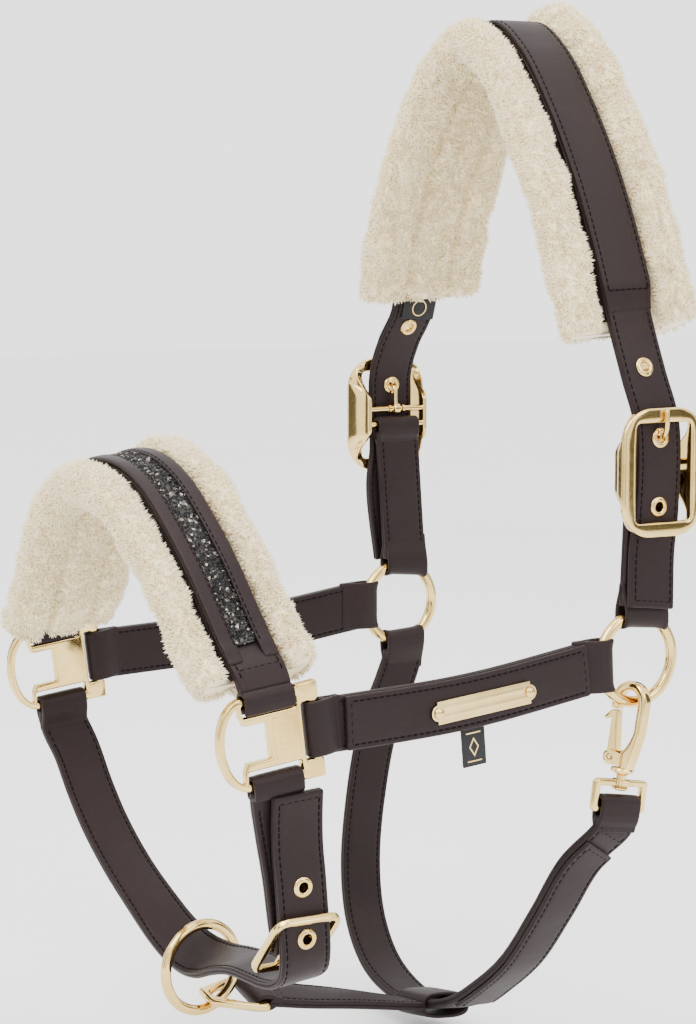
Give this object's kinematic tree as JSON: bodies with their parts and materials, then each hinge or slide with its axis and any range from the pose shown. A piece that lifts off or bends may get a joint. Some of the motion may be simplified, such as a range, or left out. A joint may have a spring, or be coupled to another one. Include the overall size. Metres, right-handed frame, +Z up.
{
  "type": "leather headcollar",
  "caption": "Horse headcollar of sewn leather straps with pile-lined crown and noseband, brass-coloured rings, fittings and buckles, and a snap hook at the throat.",
  "frame": {"origin": "point that rests on the poll: the underside of the crown lining, midway between the two cheeks", "axes": "+Z up; -Y the way the horse looks; +X the horse's left (near) side"},
  "size_m": [0.241, 0.2827, 0.5094],
  "materials": {
    "gold_metal": "polished, pale gold plated",
    "strap_leather": "smooth fine grain, semi-matt, dark brown-grey, tone-on-tone stitching",
    "backing_leather": "matt inner side",
    "pile": "sheared cream pile, soft",
    "glitter": "black glitter strip with small faceted grains",
    "woven": "black woven ribbon, matt",
    "spring_steel": "satin"
  },
  "bodies": {
    "root": {"near_nose_fitting": "gold_metal", "far_nose_fitting": "gold_metal", "near_crown_buckle": "gold_metal", "far_crown_buckle": "gold_metal", "near_eyelet_upper": "gold_metal", "near_eyelet_buckled": "gold_metal", "near_eyelet_lower": "gold_metal", "far_eyelet_upper": "gold_metal", "far_eyelet_buckled": "gold_metal", "far_eyelet_lower": "gold_metal", "chin_eyelet_upper": "gold_metal", "chin_eyelet_middle": "gold_metal", "chin_buckle": "gold_metal", "snap_eye": "gold_metal", "nameplate": "gold_metal", "nameplate_rivet_front": "gold_metal", "nameplate_rivet_rear": "gold_metal", "crown_strap": "strap_leather", "crown_cover": "strap_leather", "near_cheek_strap": "strap_leather", "near_cheek_cover": "strap_leather", "far_cheek_strap": "strap_leather", "far_cheek_cover": "strap_leather", "near_drop_strap": "strap_leather", "far_drop_strap": "strap_leather", "nose_strap": "strap_leather", "nose_trim_front": "strap_leather", "nose_trim_rear": "strap_leather", "chin_strap": "strap_leather", "near_chin_strap": "strap_leather", "throat_strap": "strap_leather", "throat_cover": "strap_leather", "back_stay": "strap_leather", "crown_backing": "backing_leather", "nose_backing": "backing_leather", "crown_pile": "pile", "nose_pile": "pile", "glitter_strip": "glitter", "woven_tag": "woven", "crown_label": "woven"},
    "near_ring": {"near_cheek_ring": "gold_metal"},
    "far_ring": {"far_cheek_ring": "gold_metal"},
    "chin_ring": {"chin_ring": "gold_metal"},
    "near_prong": {"near_crown_prong": "gold_metal"},
    "far_prong": {"far_crown_prong": "gold_metal"},
    "chin_tongue": {"chin_prong": "gold_metal"},
    "link": {"chin_link": "gold_metal"},
    "hook": {"snap_hook": "gold_metal", "snap_gate_pin": "spring_steel", "snap_spring": "spring_steel"},
    "gate": {"snap_gate": "gold_metal"}
  },
  "joints": [
    {"name": "near_ring_spin", "type": "hinge", "parent": "root", "child": "near_ring", "pos_m": [0.107, 0, -0.282], "axis": [1, 0, 0], "continuous": true},
    {"name": "far_ring_spin", "type": "hinge", "parent": "root", "child": "far_ring", "pos_m": [-0.107, 0, -0.282], "axis": [-1, 0, 0], "continuous": true},
    {"name": "chin_ring_spin", "type": "hinge", "parent": "root", "child": "chin_ring", "pos_m": [0, -0.178, -0.433], "axis": [0.9888, 0.1494, 0], "continuous": true},
    {"name": "near_prong_swing", "type": "hinge", "parent": "root", "child": "near_prong", "pos_m": [0.106, 0.007, -0.1892], "axis": [0, 1, 0], "range_deg": [0, 4]},
    {"name": "far_prong_swing", "type": "hinge", "parent": "root", "child": "far_prong", "pos_m": [-0.106, -0.003, -0.1765], "axis": [0, -1, 0], "range_deg": [0, 4]},
    {"name": "chin_prong_swing", "type": "hinge", "parent": "root", "child": "chin_tongue", "pos_m": [0.1039, -0.1845, -0.395], "axis": [0, 1, 0], "range_deg": [0, 90]},
    {"name": "link_swing", "type": "hinge", "parent": "root", "child": "link", "pos_m": [0, -0.1502, -0.45], "axis": [-0.9724, 0, 0.2334], "range_deg": [0, 5]},
    {"name": "hook_swivel", "type": "hinge", "parent": "root", "child": "hook", "pos_m": [0.107, -0.0022, -0.3027], "axis": [0, 0.158, 0.9874], "range_deg": [-12, 5]},
    {"name": "gate_swing", "type": "hinge", "parent": "hook", "child": "gate", "pos_m": [0.10103, -0.00821, -0.32959], "axis": [-0.2724, 0.9501, -0.152], "range_deg": [0, 24], "stiffness_Nm_per_rad": 0.004, "springref_deg": -28.65}
  ]
}
